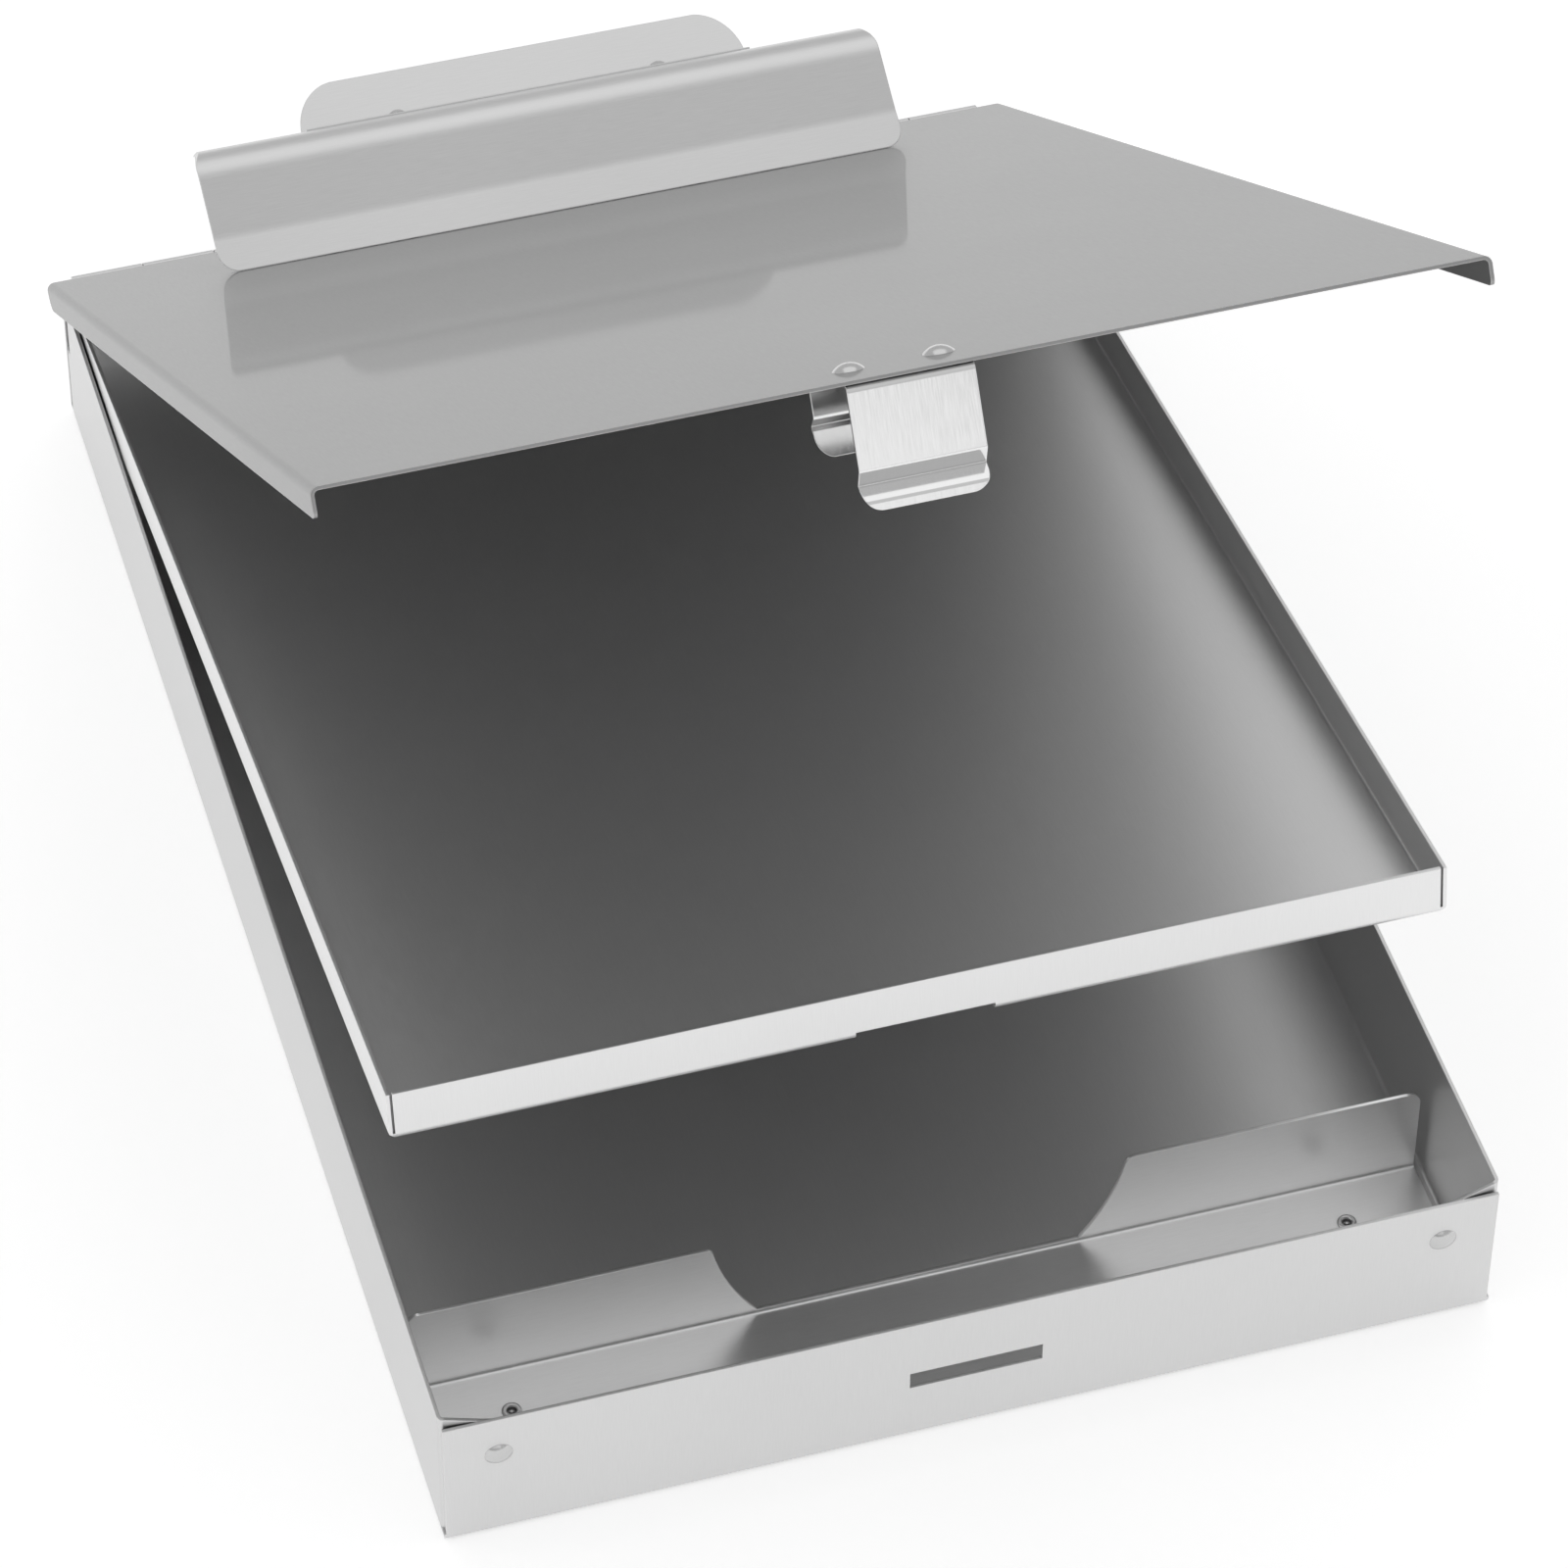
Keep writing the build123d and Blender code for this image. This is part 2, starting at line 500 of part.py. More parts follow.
def build_clip_bracket():
    """Channel riveted to the lid, whose two ears carry the clip's pivot pin."""
    ear = BRACKET_EARS / 2
    pivot = on_lid(PIVOT)
    floor = LID_TOP + CLIP_SHEET
    rear, front = on_lid((BRACKET_REAR, 0))[0], on_lid((BRACKET_FRONT, 0))[0]
    with BuildPart() as clip_bracket:
        with BuildSketch(front_view(LID, rear)):
            with BuildLine():
                FilletPolyline((-ear, pivot[1] + EAR_RADIUS), (-ear, floor - CLIP_SHEET / 2),
                               (ear, floor - CLIP_SHEET / 2), (ear, pivot[1] + EAR_RADIUS),
                               radius=BRACKET_FOLD)
            trace(line_width=CLIP_SHEET)
        extrude(amount=rear - front)
        # trim the ears to a taper that ends round the pivot
        with BuildSketch(side_view(LID)):
            with Locations((pivot[0], floor + SIDE_WALL_HEIGHT / 2)):
                Rectangle(2 * (rear - front), SIDE_WALL_HEIGHT)
            with BuildLine():
                Polyline((rear, floor), (front, floor), (pivot[0] - EAR_RADIUS, pivot[1]),
                         (pivot[0] + EAR_RADIUS, pivot[1]), close=True)
            make_face(mode=Mode.SUBTRACT)
            with Locations(pivot):
                Circle(EAR_RADIUS, mode=Mode.SUBTRACT)
        extrude(amount=ear + CLIP_SHEET, both=True, mode=Mode.SUBTRACT)
        with BuildSketch(side_view(LID)):
            with Locations(pivot):
                Circle(PIVOT_RADIUS + RUNNING_GAP)
        extrude(amount=ear + CLIP_SHEET, both=True, mode=Mode.SUBTRACT)
        punch(bracket_seats)
    save(clip_bracket, "clip_bracket")


def build_clip_jaw():
    """Full-width jaw: a shelf, a rounded crest, a sloping face and a flared foot, with two ears."""
    ear = BRACKET_EARS / 2 + EAR_STEP
    pivot = on_lid(PIVOT)
    foot = LID_TOP + FOOT_GAP
    top = LID_TOP + CLIP_TOP
    with BuildPart() as clip_jaw:
        with BuildSketch(side_view(LID)):
            with BuildLine():
                FilletPolyline(on_lid(SHELF_END), on_lid(CREST), on_lid(KNEE), on_lid(FOOT),
                               radius=(CREST_RADIUS, KNEE_RADIUS))
            trace(line_width=CLIP_SHEET)
        extrude(amount=CLIP_WIDTH / 2, both=True)
        # round the plate's four corners
        with BuildSketch(front_view(LID)) as outline:
            with Locations((0, (foot + top) / 2)):
                Rectangle(CLIP_WIDTH, top - foot)
            fillet(outline.vertices().group_by(Axis.Y)[0], CLIP_FOOT_ROUND)
            fillet(outline.vertices().group_by(Axis.Y)[-1], CLIP_TOP_ROUND)
        extrude(amount=2 * FOOT[0], mode=Mode.INTERSECT)
        # the shelf behind the crest is narrower
        with BuildSketch(front_view(LID, on_lid((CREST_END, 0))[0])):
            with Locations((0, top)):
                Rectangle(2 * CLIP_WIDTH, 4 * CREST_RADIUS)
                Rectangle(SHELF_WIDTH, 4 * CREST_RADIUS, mode=Mode.SUBTRACT)
        extrude(amount=-FOOT[0], mode=Mode.SUBTRACT)
        for side in (-1, 1):
            with BuildSketch(side_view(LID).offset(side * ear)):
                with BuildLine():
                    Polyline(*(along_shelf(distance, 0) for distance in EAR_ON_SHELF),
                             (pivot[0] - EAR_RADIUS, pivot[1]), (pivot[0] + EAR_RADIUS, pivot[1]),
                             close=True)
                make_face()
                with Locations(pivot):
                    Circle(EAR_RADIUS)
                    Circle(PIVOT_RADIUS + RUNNING_GAP, mode=Mode.SUBTRACT)
            extrude(amount=CLIP_SHEET / 2, both=True)
        punch(lever_seats)
    save(clip_jaw, "clip_jaw")


def build_clip_lever():
    """Lever plate riveted on the jaw's shelf and bent up behind the crest."""
    middle = (CLIP_SHEET + LEVER_SHEET) / 2
    crest_side = along_shelf(LEVER_FRONT, middle)
    bend = along_shelf(LEVER_BEND, middle)
    with BuildPart() as clip_lever_plate:
        with BuildSketch(side_view(LID)):
            with BuildLine():
                FilletPolyline(crest_side, bend, on_lid(LEVER_TOP), radius=2 * CLIP_SHEET)
            trace(line_width=LEVER_SHEET)
        extrude(amount=LEVER_WIDTH / 2, both=True)
        with BuildSketch(front_view(LID)) as outline:
            low = LID_TOP + SHELF_END[1] - CLIP_SHEET
            high = on_lid(LEVER_TOP)[1] + CLIP_SHEET / 4
            with Locations((0, (low + high) / 2)):
                Rectangle(LEVER_WIDTH, high - low)
            fillet(outline.vertices().group_by(Axis.Y)[-1], LEVER_ROUND)
        extrude(amount=2 * FOOT[0], mode=Mode.INTERSECT)
        punch(lever_seats)
    save(clip_lever_plate, "clip_lever_plate")


def build_pivot_pin():
    """Clip's pivot pin, with a flat head beyond each of the jaw's ears."""
    reach = BRACKET_EARS / 2 + EAR_STEP + CLIP_SHEET
    with BuildPart() as clip_pivot_pin:
        with BuildSketch(side_view(LID)):
            with Locations(on_lid(PIVOT)):
                Circle(PIVOT_RADIUS)
        extrude(amount=reach, both=True)
        for side in (-1, 1):
            with BuildSketch(side_view(LID).offset(side * reach)):
                with Locations(on_lid(PIVOT)):
                    Circle(PIVOT_RADIUS + CLIP_SHEET)
            extrude(amount=side * CLIP_SHEET)
    save(clip_pivot_pin, "clip_pivot_pin")


def build_clip_spring(name, side):
    """Torsion spring round the pivot: half turns of wire, with one leg to the shelf, one down."""
    pivot = on_lid(PIVOT)
    lean = math.radians(SPRING_LEG_ANGLE)
    wire = 2 * SPRING_WIRE
    step = side * SPRING_PITCH / 2
    start = side * SPRING_START
    finish = start + step * SPRING_HALF_TURNS

    def on_coil(x, turn, radius=SPRING_COIL):
        """Point of the coil: turn 0 is its top, a quarter turn is its front."""
        y = pivot[0] - radius * math.sin(turn)
        z = pivot[1] + radius * math.cos(turn)
        return LID.from_local_coords(Vector(x, y, z))

    def leg_end(x, turn, rise):
        """End of the straight leg that leaves the coil rearwards and reaches a height change."""
        back = abs(rise) / math.sin(lean) * math.cos(lean)
        y = pivot[0] - SPRING_COIL * math.sin(turn) + back
        z = pivot[1] + SPRING_COIL * math.cos(turn) + rise
        return LID.from_local_coords(Vector(x, y, z))

    # the legs stop short of the shelf above and of the bracket's floor below
    shelf_under = along_shelf(0, -CLIP_SHEET / 2)[1]
    rise = shelf_under - SPRING_WIRE - pivot[1] - SPRING_COIL * math.cos(lean)
    fall = pivot[1] - SPRING_COIL * math.cos(lean) - (LID_TOP + CLIP_SHEET + wire)
    with BuildPart() as clip_spring:
        with BuildLine() as path:
            Line(leg_end(start, lean, rise), on_coil(start, lean))
            ThreePointArc(on_coil(start, lean), on_coil(start, (lean + math.pi) / 2),
                          on_coil(start, math.pi))
            for half in range(SPRING_HALF_TURNS):
                x, turn = start + step * half, math.pi * (half + 1)
                ThreePointArc(on_coil(x, turn), on_coil(x + step / 2, turn + math.pi / 2),
                              on_coil(x + step, turn + math.pi))
            last = math.pi * (SPRING_HALF_TURNS + 1)
            ThreePointArc(on_coil(finish, last), on_coil(finish, last + (math.pi - lean) / 2),
                          on_coil(finish, last + math.pi - lean))
            Line(on_coil(finish, last + math.pi - lean), leg_end(finish, math.pi - lean, -fall))
        with BuildSketch(Plane(origin=path.line @ 0, z_dir=path.line % 0)):
            Circle(SPRING_WIRE)
        sweep(path=path.line)
    save(clip_spring, name)
    length = sum(edge.length for edge in path.edges()) * math.pi * SPRING_WIRE**2
    print(f"{name}: volume {clip_spring.part.volume:.2f}, wire section times length {length:.2f},"
          f" least gap between turns {SPRING_PITCH / 2 - wire:.2f}")


def build_latch():
    """Spring latch: a plate under the lid, a front leg with a catch and a rear leg with a hook."""
    top = LID_UNDERSIDE - LATCH_SHEET / 2
    front = -LID_FRONT + LATCH_SETBACK + LATCH_SHEET / 2
    tip = FRONT - HINGE_Y + LATCH_REACH - LATCH_SHEET / 2 * math.sqrt(2)
    rear = -TRAY_FRONT_REACH - HOOK_GAP - LATCH_SHEET / 2
    radii = (LATCH_FOLD,) * 3 + (LATCH_SHOULDER,) * 2 + (LATCH_FOLD,) * 2
    with BuildPart() as latch_spring:
        with BuildSketch(side_view(LID)):
            with BuildLine():
                FilletPolyline((front, LID_UNDERSIDE - LATCH_END), (front, LID_UNDERSIDE - LATCH_FLARE),
                               (tip, LID_UNDERSIDE - LATCH_CATCH), (front, LID_UNDERSIDE - LATCH_LEG),
                               (front, top), (rear, top), (rear, LID_UNDERSIDE - HOOK_LEG),
                               (rear + HOOK_REACH, LID_UNDERSIDE - HOOK_TIP),
                               (rear, LID_UNDERSIDE - HOOK_END),
                               radius=radii)
            trace(line_width=LATCH_SHEET)
        extrude(amount=LATCH_WIDTH / 2, both=True)
        # each leg's lower corners are rounded, and the rear leg is the narrower one
        behind_catch, behind_hook = tip + 2 * LATCH_SHEET, rear + HOOK_REACH + 2 * LATCH_SHEET
        for start, reach, width, low in ((behind_catch, behind_catch - front, LATCH_WIDTH, LATCH_END),
                                         (behind_hook, behind_hook - rear, LATCH_REAR_WIDTH, HOOK_END)):
            with BuildSketch(front_view(LID, start)):
                with Locations((0, LID_UNDERSIDE - LATCH_SHEET - low / 2)):
                    Rectangle(2 * LATCH_WIDTH, low + LATCH_SHEET)
                with Locations((0, LID_UNDERSIDE)):
                    RectangleRounded(width, 2 * low, LATCH_ROUND, mode=Mode.SUBTRACT)
            extrude(amount=reach + 2 * LATCH_SHEET, mode=Mode.SUBTRACT)
        punch(latch_seats)
    save(latch_spring, "latch_spring")


def build_rivets():
    """All rivets: domed ones, and the two tubular ones in the pen trough."""
    small = (SMALL_DOME, SMALL_DOME_HEIGHT)
    for side, front, rear, latch in zip(SIDES, front_corner_seats, rear_corner_seats, latch_seats):
        add_rivet(f"front_corner_rivet_{side}", front, 2 * SHEET)
        add_rivet(f"rear_corner_rivet_{side}", rear, 2 * SHEET, small)
        add_rivet(f"latch_rivet_{side}", latch, SHEET + LATCH_SHEET, (LATCH_DOME_RADIUS, LATCH_DOME_HEIGHT))
    for side, lever in zip(SIDES, lever_seats):
        add_rivet(f"clip_lever_rivet_{side}", lever, CLIP_SHEET + LEVER_SHEET,
                  (SMALL_DOME, LEVER_DOME_HEIGHT))
    for number, bracket in enumerate(bracket_seats, 1):
        add_rivet(f"clip_bracket_rivet_{number}", bracket, CLIP_SHEET + SHEET, small)
    rows = (("base", base_hinge_seats), ("tray", tray_hinge_seats), ("lid", lid_hinge_seats))
    for leaf, row in rows:
        for number, place in enumerate(row, 1):
            add_rivet(f"{leaf}_hinge_rivet_{number}", place, 2 * SHEET, small)
    for side, place in zip(SIDES, trough_seats):
        add_tube_rivet(f"trough_rivet_{side}", place)


if __name__ == "__main__":
    os.makedirs("parts", exist_ok=True)
    build_base_box()
    build_pen_trough()
    build_middle_tray()
    build_lid_panel()
    build_hinge()
    build_clip_bracket()
    build_clip_jaw()
    build_clip_lever()
    build_pivot_pin()
    for side, sign in SIDES.items():
        build_clip_spring(f"clip_spring_{side}", sign)
    build_latch()
    build_rivets()
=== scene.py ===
"""Storage clipboard box: finishes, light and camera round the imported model, in metres."""

import json
import math

import bmesh
import bpy
import numpy as np
from mathutils import Matrix, Vector


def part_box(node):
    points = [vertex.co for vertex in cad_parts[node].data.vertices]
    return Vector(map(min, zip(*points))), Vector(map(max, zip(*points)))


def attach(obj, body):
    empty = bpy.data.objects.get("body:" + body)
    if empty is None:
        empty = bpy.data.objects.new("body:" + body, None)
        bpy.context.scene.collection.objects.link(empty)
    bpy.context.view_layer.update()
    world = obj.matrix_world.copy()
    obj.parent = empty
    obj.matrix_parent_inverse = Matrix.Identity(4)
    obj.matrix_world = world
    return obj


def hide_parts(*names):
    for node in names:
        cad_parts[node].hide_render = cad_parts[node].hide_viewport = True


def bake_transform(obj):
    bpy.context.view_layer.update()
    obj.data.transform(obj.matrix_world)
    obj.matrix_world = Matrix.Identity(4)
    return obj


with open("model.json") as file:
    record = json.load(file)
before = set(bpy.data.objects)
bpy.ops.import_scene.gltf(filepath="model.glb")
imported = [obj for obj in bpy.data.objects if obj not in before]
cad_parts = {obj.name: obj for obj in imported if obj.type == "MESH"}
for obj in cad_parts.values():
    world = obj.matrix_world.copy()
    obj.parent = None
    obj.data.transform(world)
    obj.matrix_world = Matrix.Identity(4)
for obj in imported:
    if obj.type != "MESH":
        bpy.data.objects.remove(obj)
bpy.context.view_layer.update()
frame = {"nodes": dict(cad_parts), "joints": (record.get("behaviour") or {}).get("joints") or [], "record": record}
scene = bpy.context.scene

# ---- places taken from the frame -----------------------------------------------------------
REST_ABOVE_SHUT = {joint["name"]: -math.radians(joint["range_deg"][0]) for joint in frame["joints"]}
TRAY_ANGLE = REST_ABOVE_SHUT["tray_hinge"]
LID_ANGLE = TRAY_ANGLE + REST_ABOVE_SHUT["lid_hinge"]
CLIP_PIVOT = next(joint["pos_m"] for joint in frame["joints"] if joint["name"] == "clip_pivot")
BOX_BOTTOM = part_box("base_box")[0].z
TROUGH_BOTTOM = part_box("pen_trough")[0].z
SHEET = TROUGH_BOTTOM - BOX_BOTTOM           # the trough's plate lies on the box's floor
SIDES = {"left": -1, "right": 1}

# ---- camera, at the photograph's viewing angle ---------------------------------------------
CAMERA_PLACE = Vector((-0.3134, -1.0616, 1.1805))
CAMERA_AZIMUTH, CAMERA_ELEVATION, CAMERA_ROLL = -16.97, 46.47, 0.68     # degrees
CAMERA_LENS, CAMERA_SENSOR = 164.0, 36.0                                # millimetres
CAMERA_NEAR, CAMERA_FAR = 0.05, 50.0


def place_camera():
    """Camera axes from its azimuth, elevation and roll."""
    azimuth, elevation, roll = map(math.radians, (CAMERA_AZIMUTH, CAMERA_ELEVATION, CAMERA_ROLL))
    back = Vector((math.sin(azimuth) * math.cos(elevation), -math.cos(azimuth) * math.cos(elevation),
                   math.sin(elevation)))
    level = Vector((math.cos(azimuth), math.sin(azimuth), 0))
    above = back.cross(level)
    right = level * math.cos(roll) + above * math.sin(roll)
    up = above * math.cos(roll) - level * math.sin(roll)
    camera = bpy.data.objects.new("camera", bpy.data.cameras.new("camera"))
    camera.data.lens, camera.data.sensor_width = CAMERA_LENS, CAMERA_SENSOR
    camera.data.clip_start, camera.data.clip_end = CAMERA_NEAR, CAMERA_FAR
    turn = Matrix((right, up, back)).transposed().to_4x4()
    camera.matrix_world = Matrix.Translation(CAMERA_PLACE) @ turn
    scene.collection.objects.link(camera)
    scene.camera = camera


# ---- shader helpers ------------------------------------------------------------------------
class Graph:
    """Short calls for building a node tree from left to right."""

    def __init__(self, tree):
        self.tree = tree

    def add(self, kind, **settings):
        """New node with its settings."""
        node = self.tree.nodes.new(kind)
        for key, value in settings.items():
            setattr(node, key, value)
        return node

    def feed(self, socket, value):
        """Link a socket, or write a plain value to it."""
        if isinstance(value, bpy.types.NodeSocket):
            self.tree.links.new(value, socket)
        else:
            socket.default_value = value

    def math(self, operation, *values, clamp=False):
        """Result of one Math node."""
        node = self.add("ShaderNodeMath", operation=operation, use_clamp=clamp)
        for socket, value in zip(node.inputs, values):
            self.feed(socket, value)
        return node.outputs[0]

    def span(self, value, low, high, new_low=0.0, new_high=1.0):
        """Value carried from one range to another, clamped."""
        node = self.add("ShaderNodeMapRange", clamp=True)
        for socket, given in zip(node.inputs, (value, low, high, new_low, new_high)):
            self.feed(socket, given)
        return node.outputs[0]

    def noise(self, vector, scale, detail, rough):
        """Noise between 0 and 1 at a place."""
        node = self.add("ShaderNodeTexNoise")
        for name, value in (("Vector", vector), ("Scale", scale), ("Detail", detail), ("Roughness", rough)):
            self.feed(node.inputs[name], value)
        return node.outputs[0]

    def mix(self, share, first, second):
        """Colour between two others."""
        node = self.add("ShaderNodeMix", data_type="RGBA")
        self.feed(node.inputs[0], share)
        self.feed(node.inputs[6], first)
        self.feed(node.inputs[7], second)
        return node.outputs[2]

    def group(self, tree, **values):
        """Outputs of a node group fed with values by name."""
        node = self.add("ShaderNodeGroup", node_tree=tree)
        for name, value in values.items():
            self.feed(node.inputs[name], value)
        return node.outputs


def new_group(name, inputs, outputs):
    """Node group with float or vector sockets; returns its tree, graph and input sockets."""
    tree = bpy.data.node_groups.new(name, "ShaderNodeTree")
    kinds = {"vector": "NodeSocketVector", "float": "NodeSocketFloat"}
    for label, kind in inputs.items():
        tree.interface.new_socket(label, in_out="INPUT", socket_type=kinds[kind])
    for label, kind in outputs.items():
        tree.interface.new_socket(label, in_out="OUTPUT", socket_type=kinds[kind])
    graph = Graph(tree)
    return tree, graph, graph.add("NodeGroupInput").outputs, graph.add("NodeGroupOutput").inputs


# ---- effects that the metals share ---------------------------------------------------------
SIDE_WALL_FACING = 0.7                       # the normal's share across, above which a wall is a side wall


def sheet_coordinates():
    """Place on a folded sheet: X across its rolling lines, Y along them, worked out from the
    object coordinates turned by the leaf's opening angle. On side walls the height is across."""
    tree, g, given, result = new_group("sheet_coordinates", {"Angle": "float"}, {"Place": "vector"})
    levelled = []
    for source in (g.add("ShaderNodeTexCoord").outputs["Object"],
                   g.add("ShaderNodeNewGeometry").outputs["Normal"]):
        turn = g.add("ShaderNodeVectorRotate", rotation_type="X_AXIS")
        g.feed(turn.inputs["Vector"], source)
        g.feed(turn.inputs["Angle"], given["Angle"])
        split = g.add("ShaderNodeSeparateXYZ")
        g.feed(split.inputs[0], turn.outputs[0])
        levelled.append(split.outputs)
    place, normal = levelled
    side = g.math("GREATER_THAN", g.math("ABSOLUTE", normal[0]), SIDE_WALL_FACING)
    across = g.math("ADD", g.math("MULTIPLY", place[0], g.math("SUBTRACT", 1.0, side)),
                    g.math("MULTIPLY", place[2], side))
    join = g.add("ShaderNodeCombineXYZ")
    g.feed(join.inputs[0], across)
    g.feed(join.inputs[1], g.math("ADD", place[1], place[2]))
    g.feed(result["Place"], join.outputs[0])
    return tree


GRAIN_LAYERS = ((1.0, 0.8), (0.27, 0.2))     # share of the line count, and weight in the sum
GRAIN_DETAIL, GRAIN_ROUGHNESS = 3.0, 0.6
PATCH_SCALE, PATCH_DETAIL, PATCH_ROUGHNESS = 14.0, 3.0, 0.55


def brushed_grain():
    """Brush lines: noise drawn out along Y at two widths, with slow patches over them."""
    tree, g, given, result = new_group(
        "brushed_grain", {"Place": "vector", "Lines": "float", "Stretch": "float"},
        {"Grain": "float", "Patches": "float"})
    layers = []
    for share, weight in GRAIN_LAYERS:
        lines = g.math("MULTIPLY", given["Lines"], share)
        scale = g.add("ShaderNodeCombineXYZ")
        g.feed(scale.inputs[0], lines)
        g.feed(scale.inputs[1], g.math("DIVIDE", lines, given["Stretch"]))
        stretch = g.add("ShaderNodeVectorMath", operation="MULTIPLY")
        g.feed(stretch.inputs[0], given["Place"])
        g.feed(stretch.inputs[1], scale.outputs[0])
        streaks = g.noise(stretch.outputs[0], 1.0, GRAIN_DETAIL, GRAIN_ROUGHNESS)
        layers.append(g.math("MULTIPLY", streaks, weight))
    g.feed(result["Grain"], g.math("ADD", *layers))
    g.feed(result["Patches"], g.noise(given["Place"], PATCH_SCALE, PATCH_DETAIL, PATCH_ROUGHNESS))
    return tree


BEVEL_SAMPLES = 6
EDGE_FROM, EDGE_TO = 0.98, 0.8               # agreement of the rounded and true normals, from flat to full painted highlight


def edge_highlight_and_rounding():
    """Where the surface turns within a small radius: a mask for the painted edge highlight, and the rounded
    normal.
    """
    tree, g, given, result = new_group("edge_highlight_and_rounding", {"Radius": "float"},
                                       {"Edge": "float", "Normal": "vector"})
    bevel = g.add("ShaderNodeBevel", samples=BEVEL_SAMPLES)
    g.feed(bevel.inputs["Radius"], given["Radius"])
    dot = g.add("ShaderNodeVectorMath", operation="DOT_PRODUCT")
    g.feed(dot.inputs[0], bevel.outputs[0])
    g.feed(dot.inputs[1], g.add("ShaderNodeNewGeometry").outputs["Normal"])
    g.feed(result["Edge"], g.span(dot.outputs["Value"], EDGE_FROM, EDGE_TO))
    g.feed(result["Normal"], bevel.outputs[0])
    return tree


CREVICE_SAMPLES = 4
# painted shade: seams and the rims of round rivets are darkened down to the second number's share of their colour
CREVICE_REACH, PAINTED_SHADE_TONE = 0.0008, 0.35
CREVICE_FROM, CREVICE_TO = 0.35, 0.8         # openness that counts as a seam, and as open


def painted_crevice_shade():
    """How open the surface is within a small reach: 0 in seams and round rivets, 1 elsewhere. The metals darken
    their colour by it as painted shade.
    """
    tree, g, given, result = new_group("painted_crevice_shade", {"Reach": "float"}, {"Open": "float"})
    shade = g.add("ShaderNodeAmbientOcclusion", samples=CREVICE_SAMPLES)
    g.feed(shade.inputs["Distance"], given["Reach"])
    g.feed(result["Open"], g.span(shade.outputs["AO"], CREVICE_FROM, CREVICE_TO))
    return tree


SHEET_PLACE, GRAIN, EDGE, PAINTED_CREVICE = sheet_coordinates(), brushed_grain(), edge_highlight_and_rounding(), painted_crevice_shade()

# ---- metals --------------------------------------------------------------------------------
EDGE_HIGHLIGHT_SHARE = 0.7                             # how far the painted highlight on an edge goes towards its bright tone
ROUGHNESS_SWING = 0.25                       # change of roughness over the grain
BUMP_DISTANCE = 0.001
LACQUER_ROUGHNESS, LACQUER_IOR = 0.05, 1.25


def metal(name, tone, roughness, angle=0.0, along_x=False, lines=3800.0, stretch=22.0, contrast=0.10,
          depth=0.016, edge_radius=0.0003, edge_highlight_tone=0.92, patches=0.04, grazing=1.0, lacquer=0.0):
    """Brushed metal: tone and roughness varied by its grain, with slightly rounded edges, a painted
    highlight on the edges and painted shade in seams and round rivets."""
    material = bpy.data.materials.new(name)
    material.use_nodes = True
    g = Graph(material.node_tree)
    surface = material.node_tree.nodes["Principled BSDF"]
    place = g.group(SHEET_PLACE, Angle=angle)["Place"]
    if along_x:
        split, join = g.add("ShaderNodeSeparateXYZ"), g.add("ShaderNodeCombineXYZ")
        g.feed(split.inputs[0], place)
        g.feed(join.inputs[0], split.outputs[1])
        g.feed(join.inputs[1], split.outputs[0])
        place = join.outputs[0]
    grain = g.group(GRAIN, Place=place, Lines=lines, Stretch=stretch)
    edge = g.group(EDGE, Radius=edge_radius)
    streaks = g.math("SUBTRACT", grain["Grain"], 0.5)
    light = g.math("ADD", g.math("MULTIPLY", streaks, contrast),
                   g.math("MULTIPLY", g.math("SUBTRACT", grain["Patches"], 0.5), patches))
    # painted shade: the colour is darkened in seams and round rivets, the more the less open they are
    painted_seam_shade = g.span(g.group(PAINTED_CREVICE, Reach=CREVICE_REACH)["Open"], 0.0, 1.0, PAINTED_SHADE_TONE, 1.0)
    level = g.math("MULTIPLY", g.math("ADD", light, tone, clamp=True), painted_seam_shade)
    colour = g.add("ShaderNodeCombineColor")
    for socket in colour.inputs:
        g.feed(socket, level)
    # painted highlight: the colour of edges is lightened towards a bright tone
    painted_edge_highlight = g.math("MULTIPLY", edge["Edge"], EDGE_HIGHLIGHT_SHARE)
    g.feed(surface.inputs["Base Color"],
           g.mix(painted_edge_highlight, colour.outputs[0], (edge_highlight_tone, edge_highlight_tone, edge_highlight_tone, 1.0)))
    g.feed(surface.inputs["Roughness"],
           g.math("ADD", g.math("MULTIPLY", streaks, ROUGHNESS_SWING), roughness, clamp=True))
    surface.inputs["Metallic"].default_value = 1.0
    surface.inputs["Specular Tint"].default_value = (grazing, grazing, grazing, 1.0)
    surface.inputs["Coat Weight"].default_value = lacquer
    surface.inputs["Coat Roughness"].default_value = LACQUER_ROUGHNESS
    surface.inputs["Coat IOR"].default_value = LACQUER_IOR
    bump = g.add("ShaderNodeBump")
    g.feed(bump.inputs["Strength"], depth)
    g.feed(bump.inputs["Distance"], BUMP_DISTANCE)
    g.feed(bump.inputs["Height"], grain["Grain"])
    g.feed(bump.inputs["Normal"], edge["Normal"])
    g.feed(surface.inputs["Normal"], bump.outputs[0])
    return material


